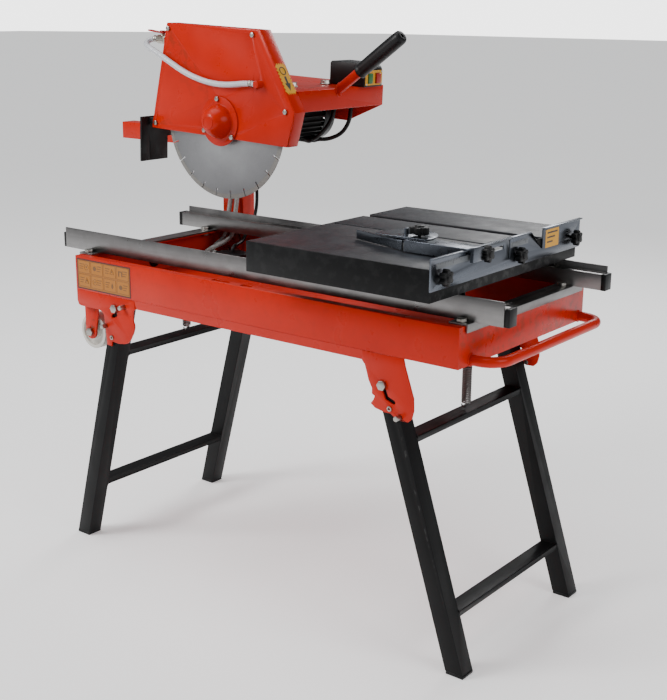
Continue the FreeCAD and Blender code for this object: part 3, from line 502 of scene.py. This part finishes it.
LABEL_OCHRE = label_film("label_ochre", (0.40, 0.135, 0.003), (0.33, 0.11, 0.003), 0.34)
LABEL_SIGN = label_film("label_sign", (0.46, 0.165, 0.004), (0.39, 0.135, 0.004), 0.34)
LABEL_FAINT = label_film("label_faint", (0.16, 0.07, 0.014), (0.12, 0.05, 0.012), 0.36)
LABEL_YELLOW = label_film("label_yellow", (0.74, 0.36, 0.003), (0.64, 0.30, 0.003), 0.32)
LABEL_DARK = label_film("label_dark", (0.016, 0.012, 0.012), (0.03, 0.025, 0.025), 0.35)
LABEL_RED = label_film("label_red", (0.09, 0.004, 0.003), (0.06, 0.004, 0.003), 0.36)
LABEL_SCALE = label_film("label_scale", (0.17, 0.18, 0.19), (0.13, 0.14, 0.15), 0.3)

# ---- hoses and cables: the routes of the solid ones ----
FEED_HOSE = [(62, 388, 630), (48, 388, 630), (39, 396, 636), (37, 414, 645), (40, 434, 656), (43, 446, 672),
             (43, 447.5, 700), (45, 456, 732), (45, 463, 772), (45, 463.4, 832), (44.9, 463, 890),
             (40, 461, 935), (27, 450, 970), (8, 428, 1000), (-8, 402, 1034), (-16, 378, 1072),
             (-18, 362, 1106), (-17.3, 350, 1132), (-17.3, 332.3, 1132.5)]
RETURN_HOSE = [(62, 362, 630), (48, 362, 630), (44, 376, 636), (51, 402, 645), (60, 428, 653),
               (64, 443, 666), (65, 447.5, 692), (65, 456, 728), (65, 463, 770), (65, 463.4, 830),
               (64.9, 463, 888), (60, 458, 930), (48, 446, 962), (34, 424, 990), (22, 396, 1014),
               (16, 368, 1034), (15, 350, 1041), (15, 336.3, 1041.1)]
PUMP_CABLE = [(76, 491, 812), (90, 491, 812), (102, 491, 794), (104, 491, 758), (103, 488, 724),
              (103, 476, 700), (103, 459, 688), (104, 448, 672), (108, 432, 658), (116, 406, 655),
              (123, 386, 656), (123, 378, 649), (123, 377.9, 640)]
SPRAY_HOSE = [(-38, 306, 1130), (-51, 306, 1130), (-61, 297, 1125), (-56, 285, 1117), (-40, 279.5, 1111),
              (-20, 279.5, 1104), (4, 279.5, 1093.5), (34, 279.5, 1080.5), (66, 279.5, 1067),
              (102, 279.5, 1056), (142, 279.5, 1048.5), (184, 279.5, 1046), (224, 279.5, 1049.5),
              (260, 279.5, 1055.4), (286, 279.5, 1055.4)]
MOTOR_CABLES = [[(292, 618, 1042), (293, 619, 1012), (294, 618, 982), (294, 613, 952), (280, 604, 924),
                 (254, 590, 909.5), (236, 572.2, 908), (222, 572, 908)],
                [(262, 600, 1042), (262.5, 600, 1012), (261, 598, 984), (258, 590, 956), (250, 576, 931),
                 (237, 552.2, 908.5), (222, 552, 908)]]
GLAND_PROFILE = [(-0.008, 0.0088), (-0.001, 0.0092), (0.0, 0.0092), (0.003, 0.0086), (0.009, 0.0062),
                 (0.012, 0.0056)]


def hoses_and_cables():
    """The routes as tubes. The two pump hoses are attached to no body."""
    for name, route in (("feed_hose", FEED_HOSE), ("return_hose", RETURN_HOSE)):
        line = centreline([at(*p) for p in route])
        hose = sweep(name, line, 0.0055, 20, None, MATERIAL["clear_hose"])
        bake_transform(hose)
        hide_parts("supply_hoses")
    line = centreline([at(*p) for p in PUMP_CABLE])
    cable = sweep("pump_cable_sheath", line, 0.0042, 16, "frame", MATERIAL["cable_black"])
    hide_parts("pump_cable")
    line = centreline([on_head(*p) for p in SPRAY_HOSE])
    hose = sweep("spray_hose_cover", line, 0.0065, 28, "head", MATERIAL["white_hose"])
    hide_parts("spray_hose")
    for k, route in enumerate(MOTOR_CABLES):
        line = centreline([on_head(*p) for p in route])
        cable = sweep(f"motor_lead_{k}", line, 0.005, 16, "head", MATERIAL["cable_black"])
        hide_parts("motor_cables")
        lathe(f"cable_gland_{k}", GLAND_PROFILE, on_head(*route[-1]), HEAD_X, "head",
              MATERIAL["black_plastic"], 24)


camera()
hoses_and_cables()

# ---- skins of the CAD parts: node and the width of its broken edges, in metres ----
FULL_ROUND = 0.0012    # edges from this width up take a third segment
SKINS = {
    "tub": 0.0004, "leg_brackets": 0.0008, "carry_handle": 0.0006, "cross_strips": 0.0006,
    "rail_front": 0.0004, "rail_back": 0.0004, "rail_caps": 0.001, "column": 0.0012,
    "frame_bolts": 0.0004, "water_pump": 0.0015, "drain_plug": 0.0015,
    "leg_frame_left": 0.0012, "leg_frame_right": 0.0012, "feet_left": 0.0012, "feet_right": 0.0012,
    "wheel_front": 0.0012, "wheel_back": 0.0012, "table_tray": 0.0006, "table_mats": 0.0012,
    "roller_bolts": 0.0004, "rollers_left": 0.0008, "rollers_right": 0.0008, "fence_plate": 0.0004,
    "fence_knob_front": 0.0012, "fence_knob_middle": 0.0012, "fence_knob_back": 0.0012,
    "stop_arm": 0.0005, "stop_plate": 0.0004, "star_knob": 0.0014, "stop_clamp_knob": 0.0012,
    "motor_plate": 0.0008, "pivot_shaft": 0.0008, "head_bolts": 0.0004, "guard_shell": 0.001,
    "guard_cover": 0.0009, "hub_cover": 0.0008, "splash_flap": 0.0005, "motor_hood": 0.0012,
    "motor_housing": 0.0005, "motor_shields": 0.0006, "fan_cover": 0.0006, "lift_handle": 0.0006,
    "switch_box": 0.0015, "water_valve": 0.0004, "valve_lever": 0.0006,
    "start_button": 0.0012, "stop_button": 0.0012, "arbor_shaft": 0.0005,
    "cooling_fan": 0.0005,
}
for node, width in SKINS.items():
    rounded(node, width, 3 if width >= FULL_ROUND else 2)
# these nodes show as they are, in this scene's materials
for node in ("blade", "stator", "rotor_core", "bearings"):
    carried = frame["nodes"][node]
    for index in range(len(carried.material_slots)):
        carried.material_slots[index].material = MATERIAL[SLOT_OF[node]]


# ---- springs ----
def spring(name, node, x, low, high):
    """A close-wound tension spring: a straight end up to the tub, the coil, and a hook for the leg bar."""
    y, coil, wire, gap, hook = 235, 8.3, 1.65, 0.15, 5
    turns = int((high - low) / (2 * wire + gap))
    steps = 24
    line = [at(x, y, z) for z in (TUB_FLOOR_Z - 2, high + 14, high + 6)] + [at(x + 5, y + 2, high + 2.5)]
    for i in range(turns * steps + 1):
        angle = 2 * math.pi * i / steps
        z = high - (high - low) * i / (turns * steps)
        line.append(at(x + coil * math.cos(angle), y + coil * math.sin(angle), z))
    line += [at(x + 5, y + 2, low - 2.5), at(x, y, low - 6)]
    line += [at(x - hook + hook * math.cos(a), y, low - 6 + hook * math.sin(a))
             for a in (-0.5, -1.2, -1.9, -2.6, -3.3)]
    body = sweep(name, line, wire / 1000, 8, None, MATERIAL["spring_steel"])
    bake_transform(body)
    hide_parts(node)


spring("spring_left_coil", "spring_left", 106, 486, 560)
spring("spring_right_coil", "spring_right", 876, 456.5, 532)


# ---- handle grip ----
def grip():
    """The rubber sleeve on the handle: a collar at its foot, a slim barrel and a domed end with a hole."""
    along = Vector((math.cos(HANDLE_ANGLE), 0, math.sin(HANDLE_ANGLE)))
    bare = 72
    start = Vector(HANDLE_ROOT) + along * bare
    length = 0.118
    profile = [(0.0, 0.0112), (0.0, 0.0152), (0.0012, 0.0163), (0.004, 0.0166), (0.0065, 0.0163)]
    profile += [(0.0075, 0.0157), (0.012, 0.0157), (0.035, 0.0161), (0.06, 0.0163), (0.085, 0.0163)]
    profile += [(length, 0.0162)]
    profile += [(length + 0.012, 0.0160), (length + 0.017, 0.0151), (length + 0.0200, 0.0130)]
    profile += [(length + 0.0212, 0.0100), (length + 0.0212, 0.0062)]
    profile += [(length + 0.0212, 0.0042), (length + 0.015, 0.0040), (length + 0.013, 0.001)]
    body = lathe("grip_rubber", profile, on_head(*start), HEAD_TURN @ along, "head",
                 MATERIAL["black_rubber"], 56)
    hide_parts("handle_grip")


grip()


# ---- blade segments ----
def blade_segments():
    """The sintered diamond segments on the rim, a little thicker than the steel core."""
    x, z = BLADE_AXIS
    count, inner, outer, half = 24, 165, 175.0, 1.8
    half_slot = 1.3
    gap = math.degrees(half_slot / outer)
    n = Nodes("diamond_rim")
    grit = n.noise(900, 3)
    colour = n.mix(n.ramp(grit, [(0.4, 0.0), (0.65, 1.0)]), (0.20, 0.195, 0.185), (0.32, 0.31, 0.29))
    rim = n.finish(colour, 0.55, n.bump(grit, 0.5, 0.0005), metal=0.8)
    bm = bmesh.new()
    for k in range(count):
        first = 360 * k / count + 90 + 360 / count / 2 + gap
        sweep_angle = 360 / count - 2 * gap
        rings = []
        for i in range(7):
            a = math.radians(first + sweep_angle * i / 6)
            corners = [(inner, -half), (outer, -half), (outer, half), (inner, half)]
            rings.append([bm.verts.new(on_head(x + r * math.cos(a), BLADE_Y + dy, z + r * math.sin(a)))
                          for r, dy in corners])
        for one, two in zip(rings, rings[1:]):
            for j in range(4):
                bm.faces.new((one[j], one[(j + 1) % 4], two[(j + 1) % 4], two[j]))
        bm.faces.new(rings[0])
        bm.faces.new(rings[-1])
    bmesh.ops.recalc_face_normals(bm, faces=bm.faces)
    add_object("blade_segments", mesh_of("blade_segments", bm), "arbor", rim)


blade_segments()


# ---- labels without words ----
def panel(name, x0, x1, z0, z1, y, thick, material):
    """A thin upright plate on the tub's front panel."""
    outline = [at(x0, y, z0), at(x1, y, z0), at(x1, y, z1), at(x0, y, z1)]
    slab(name, outline, Vector((0, -thick / 1000, 0)), "frame", material, 0.00015)


def glyph(name, x, z, size, y, kind):
    """One plain sign without words: a ring, a triangle frame, a bridge of two posts, a drop or a disc."""
    def circle(radius, count=26):
        return [(x + radius * math.cos(a), z + radius * math.sin(a)) for a in angles(count)]

    if kind in ("ring", "triangle"):
        path = circle(size)
        if kind == "triangle":
            corners = [(x - size, z - size * 0.8), (x + size, z - size * 0.8), (x, z + size)]
            path = along_edges(corners, 6)
        line = [at(px, y, pz) for px, pz in path]
        sweep(name, line, 0.0004, 6, "frame", LABEL_FAINT, closed=True)
        path = circle(size * 0.32, 14)
    elif kind == "drop":
        path = [(x + 0.6 * size * math.sin(a) * math.sin(a / 2), z + size * math.cos(a))
                for a in angles(20)]
    elif kind == "bridge":
        path = [(-1, -1), (-0.5, -1), (-0.5, 0.4), (0.5, 0.4), (0.5, -1), (1, -1), (1, 0.8), (-1, 0.8)]
        path = [(x + u * size, z + v * size) for u, v in path]
    else:
        path = circle(size * 0.8)
    slab(f"{name}_fill", [at(px, y, pz) for px, pz in path], Vector((0, -0.00015, 0)), "frame",
         LABEL_FAINT)


def sign_label():
    """The long sign plate at the left of the front panel: two rows of four plain signs, and blank bands."""
    panel("sign_border", 5, 175, 603, 671, 0, 0.3, LABEL_RED)
    panel("sign_field", 8, 172, 606, 668, -0.3, 0.2, LABEL_OCHRE)
    half_wide, half_high, rule = 18, 13, 0.6
    kinds = ("ring", "disc", "triangle", "bridge", "triangle", "ring", "drop", "disc")
    for k, kind in enumerate(kinds):
        column, row = k % 4, k // 4
        x, z = 28.5 + 41 * column, 653.5 - 30.5 * row
        name = f"sign_{k}"
        panel(f"{name}_rule", x - half_wide - rule, x + half_wide + rule, z - half_high - rule,
              z + half_high + rule, -0.5, 0.05, LABEL_FAINT)
        panel(f"{name}_field", x - half_wide, x + half_wide, z - half_high, z + half_high, -0.55, 0.1,
              LABEL_SIGN)
        side = 7.2 if column % 2 else -7.2
        glyph(f"{name}_mark", x - side, z, 6.5, -0.7, kind)
        for line in range(3):
            low = z + 5 - 5 * line
            panel(f"{name}_band_{line}", x + side - 7, x + side + 7 - 2 * line, low, low + 1.4, -0.65, 0.08,
                  LABEL_FAINT)


sign_label()


def arrow_label():
    """The saw-toothed plate on the guard's sloping edge, with the arrow for the blade's turn."""
    top, low = Vector((288, 0, 1169.5)), Vector((391, 0, 1003.5))
    down = (low - top).normalized()
    out = Vector((-down.z, 0, down.x))
    length = (low - top).length

    def place(s, y, lift):
        """A point of the sloping edge: down it, across it and off it."""
        return on_head(*(top + down * s + out * lift + Vector((0, y, 0))))

    first, last, y0, y1, tooth = length - 112, length - 47, 293.5, 320.5, 5
    rows, columns = 8, 4
    half_s, half_y = (last - first) / rows / 2, (y1 - y0) / columns / 2
    outline = []
    for k in range(rows):
        s = first + (last - first) * k / rows
        outline += [(s, y0), (s + half_s, y0 - tooth)]
    for k in range(columns):
        y = y0 + (y1 - y0) * k / columns
        outline += [(last, y), (last + tooth, y + half_y)]
    for k in range(rows):
        s = last - (last - first) * k / rows
        outline += [(s, y1), (s - half_s, y1 + tooth)]
    for k in range(columns):
        y = y1 - (y1 - y0) * k / columns
        outline += [(first, y), (first - tooth, y - half_y)]
    normal = HEAD_TURN @ out
    slab("arrow_field", [place(s, y, 0.02) for s, y in outline], normal * 0.0003, "head",
         LABEL_YELLOW)
    middle = (y0 + y1) / 2
    shaft = [(first + 27, -3.2), (first + 43, -3.2), (first + 43, -9), (first + 61, 0), (first + 43, 9),
             (first + 43, 3.2), (first + 27, 3.2)]
    slab("arrow_mark", [place(s, middle + y, 0.35) for s, y in shaft], normal * 0.0002, "head",
         LABEL_DARK)
    radius = 8.5
    ring = [place(first + 14 + radius * math.cos(a), middle + radius * math.sin(a), 0.4)
            for a in angles(28)]
    sweep("arrow_ring", ring, 0.0011, 8, "head", LABEL_DARK, closed=True)


arrow_label()


def fence_scale():
    """The rule on the fence: a pale band with plain division marks, and a yellow plate."""
    x = 986.05
    out = Vector((0.0002, 0, 0))

    def plate(name, y0, y1, z0, z1, lift, material):
        outline = [at(x + lift, y0, z0), at(x + lift, y1, z0), at(x + lift, y1, z1), at(x + lift, y0, z1)]
        slab(name, outline, out, "carriage", material)

    top, wide, margin, division = 797, 0.6, 2, 5
    bands = {"scale_band": (-58, 48), "scale_band_inner": (189, 254)}
    for name, (y0, y1) in bands.items():
        plate(name, y0, y1, top - 10, top, 0, LABEL_SCALE)
    bm = bmesh.new()
    for k in range(64):
        y = -56 + division * k
        if not any(y0 + margin <= y <= y1 - margin for y0, y1 in bands.values()):
            continue
        tall = 7 if k % 10 == 0 else (5 if k % 5 == 0 else 3)
        points = [(y, top - tall), (y + wide, top - tall), (y + wide, top), (y, top)]
        bm.faces.new([bm.verts.new(at(x + 0.45, *p)) for p in points])
    marks = add_object("scale_marks", mesh_of("scale_marks", bm), None, LABEL_DARK)
    solid = marks.modifiers.new("solid", "SOLIDIFY")
    solid.thickness = 0.0002
    graph = bpy.context.evaluated_depsgraph_get()
    marks.data = bpy.data.meshes.new_from_object(marks.evaluated_get(graph))
    marks.modifiers.clear()
    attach(marks, "carriage")
    plate("fence_sign", 322, 374, 767, 802, 0, LABEL_YELLOW)
    for k in range(3):
        drop = 9 * k
        plate(f"fence_sign_bar_{k}", 328, 368 - drop, 794 - drop, 797 - drop, 0.25, LABEL_DARK)


fence_scale()


# ---- switch plate ----
def switch_plate():
    """The yellow plate round the two buttons, held by small screws."""
    x, thick = 387.05, 1.2
    out = HEAD_TURN @ Vector((thick / 1000, 0, 0))
    bars = [(543, 607, 1076, 1082), (543, 607, 1049, 1052), (543, 552, 1052, 1076), (570, 580, 1052, 1076),
            (598, 607, 1052, 1076)]
    bm = bmesh.new()
    for y0, y1, z0, z1 in bars:
        base = [on_head(x, *p) for p in ((y0, z0), (y1, z0), (y1, z1), (y0, z1))]
        low = [bm.verts.new(p) for p in base]
        high = [bm.verts.new(p + out) for p in base]
        bm.faces.new(low[::-1])
        bm.faces.new(high)
        for j in range(4):
            bm.faces.new((low[j], low[(j + 1) % 4], high[(j + 1) % 4], high[j]))
    bmesh.ops.recalc_face_normals(bm, faces=bm.faces)
    add_object("switch_plate", mesh_of("switch_plate", bm), "head", LABEL_YELLOW)
    screw = [(0, 0.0022), (0.0009, 0.0022), (0.0014, 0.0016), (0.0014, 0.0004)]
    for y in (547, 603):
        for z in (1050.5, 1079):
            lathe(f"switch_screw_{y}_{int(z)}", screw, on_head(x + thick, y, z), HEAD_X, "head",
                  MATERIAL["zinc_bolts"], 16)


switch_plate()


# ---- small fittings of the head ----
def small_fittings():
    """The clamps at the two ends of the spray hose, and the two rims pressed into the hub's dome."""
    clamp = [(0.0, 0.0066), (0.0, 0.0076), (0.0015, 0.0080), (0.0035, 0.0072), (0.0065, 0.0072),
             (0.0085, 0.0080), (0.010, 0.0076), (0.010, 0.0066)]
    for name, place in (("spray_clamp", (270, 279.5, 1055.4)), ("valve_clamp", (-49, 306, 1130))):
        lathe(name, clamp, on_head(*place), HEAD_X, "head", MATERIAL["zinc_bolts"], 32)
    x, z = BLADE_AXIS
    flange = 3
    front = GUARD_FRONT - flange
    for name, radius, depth in (("hub_rim_inner", 14, 36.2), ("hub_rim_outer", 36.6, 4)):
        ring = [on_head(x + radius * math.cos(a), front - depth, z + radius * math.sin(a))
                for a in angles(48)]
        sweep(name, ring, 0.0009, 8, "head", MATERIAL["orange_paint"], closed=True)


small_fittings()


# ---- weld beads ----
def bead(name, line, radius, body, slot):
    """A closed weld bead: a low tube that swells and shrinks along the seam."""
    sides = 8
    tube = sweep(name, line, radius, sides, body, MATERIAL[slot], closed=True)
    for i, vertex in enumerate(tube.data.vertices):
        ring = i // sides
        swell = 1 + 0.22 * math.sin(ring * 1.9) + 0.1 * math.sin(ring * 0.7)
        vertex.co = line[ring] + (vertex.co - line[ring]) * swell


def weld_beads():
    """The seams round the carry handle's ends, the lift bar, the lift handle and the bars of the legs."""
    radius = 10.6
    for y in (42, 452):
        ring = [at(1000.4, y + radius * math.cos(a), 610 + radius * math.sin(a)) for a in angles(44)]
        bead(f"handle_weld_{y}", ring, 0.0016, "frame", "orange_paint")
    square = along_edges([(471, 873), (471, 913), (511, 913), (511, 873)], 12)
    bead("lift_bar_weld", [at(9.6, y, z) for y, z in square], 0.0018, "frame", "orange_paint")
    radius = 11.3
    tall = radius / math.cos(HANDLE_ANGLE)
    oval = [on_head(370.5, 469 + radius * math.sin(a), 1042.5 + tall * math.cos(a)) for a in angles(48)]
    bead("lift_handle_weld", oval, 0.0016, "head", "orange_paint")
    section = along_edges([(-18, -6), (18, -6), (18, 6), (-18, 6)], 8)
    # each leg's side, the (x, z) of its foot and top, and the heights of its bars
    legs = (("left", (-27, 0), (128.8, 582.3), (464, 134)), ("right", (1013, 0), (832, 560), (434.5, 109)))
    for side, foot, top, bars in legs:
        for z in bars:
            x = foot[0] + (top[0] - foot[0]) * (z - foot[1]) / (top[1] - foot[1])
            for y in (43.2, 426.8):
                loop = [at(x + a, y, z + b) for a, b in section]
                bead(f"{side}_leg_weld_{int(z)}_{int(y)}", loop, 0.0011, f"{side}_legs", "black_paint")


weld_beads()


# ---- floor and light ----
def floor_material():
    """Pale and matt, with a little light of its own so that it stays nearly white."""
    n = Nodes("pale_floor")
    tone = n.ramp(n.noise(1.5, 3), [(0.3, 0.9), (0.8, 0.9 * 0.985)])
    n.finish(tone, 0.85)
    n.shader.inputs["Emission Color"].default_value = (1, 1, 1, 1)
    n.shader.inputs["Emission Strength"].default_value = 0.28
    return n.material


FLOOR_HALF = 40    # metres, so that its edge lies far behind the saw


def floor():
    corners = [(x * FLOOR_HALF, y * FLOOR_HALF, 0) for x, y in ((-1, -1), (1, -1), (1, 1), (-1, 1))]
    mesh = mesh_from("floor", corners, [(0, 1, 2, 3)])
    ground = bpy.data.objects.new("floor", mesh)
    mesh.materials.append(floor_material())
    bpy.context.collection.objects.link(ground)


def lamp(name, place, target, size, power):
    data = bpy.data.lights.new(name, "AREA")
    data.size = size
    data.energy = power
    light = bpy.data.objects.new(name, data)
    light.location = place
    light.rotation_euler = (Vector(target) - Vector(place)).to_track_quat("-Z", "Y").to_euler()
    bpy.context.collection.objects.link(light)


def studio():
    """A surround that is bright to look at and dim as a light, three soft lamps and a wide soft sun."""
    world = bpy.data.worlds.new("studio")
    world.use_nodes = True
    tree = world.node_tree
    seen = tree.nodes["Background"]
    seen.inputs["Color"].default_value = (1.0, 1.0, 1.0, 1)
    seen.inputs["Strength"].default_value = 3.5
    soft = tree.nodes.new("ShaderNodeBackground")
    soft.inputs["Color"].default_value = (0.93, 0.96, 1.0, 1)
    soft.inputs["Strength"].default_value = 0.2
    path = tree.nodes.new("ShaderNodeLightPath")
    choose = tree.nodes.new("ShaderNodeMixShader")
    tree.links.new(path.outputs["Is Camera Ray"], choose.inputs[0])
    tree.links.new(soft.outputs[0], choose.inputs[1])
    tree.links.new(seen.outputs[0], choose.inputs[2])
    tree.links.new(choose.outputs[0], tree.nodes["World Output"].inputs["Surface"])
    bpy.context.scene.world = world
    lamp("key", (-1.7, -2.4, 2.6), (0, 0, 0.7), 1.2, 88)
    lamp("side", (2.9, -0.2, 2.1), (0, 0, 0.7), 1.4, 34)
    lamp("back", (-0.5, 2.8, 2.6), (0, 0, 0.8), 1.4, 50)
    data = bpy.data.lights.new("sky", "SUN")
    data.energy = 1.8
    data.angle = math.radians(50)
    sky = bpy.data.objects.new("sky", data)
    sky.rotation_euler = Vector((0.25, 0.12, -1)).to_track_quat("-Z", "Y").to_euler()
    bpy.context.collection.objects.link(sky)


floor()
studio()
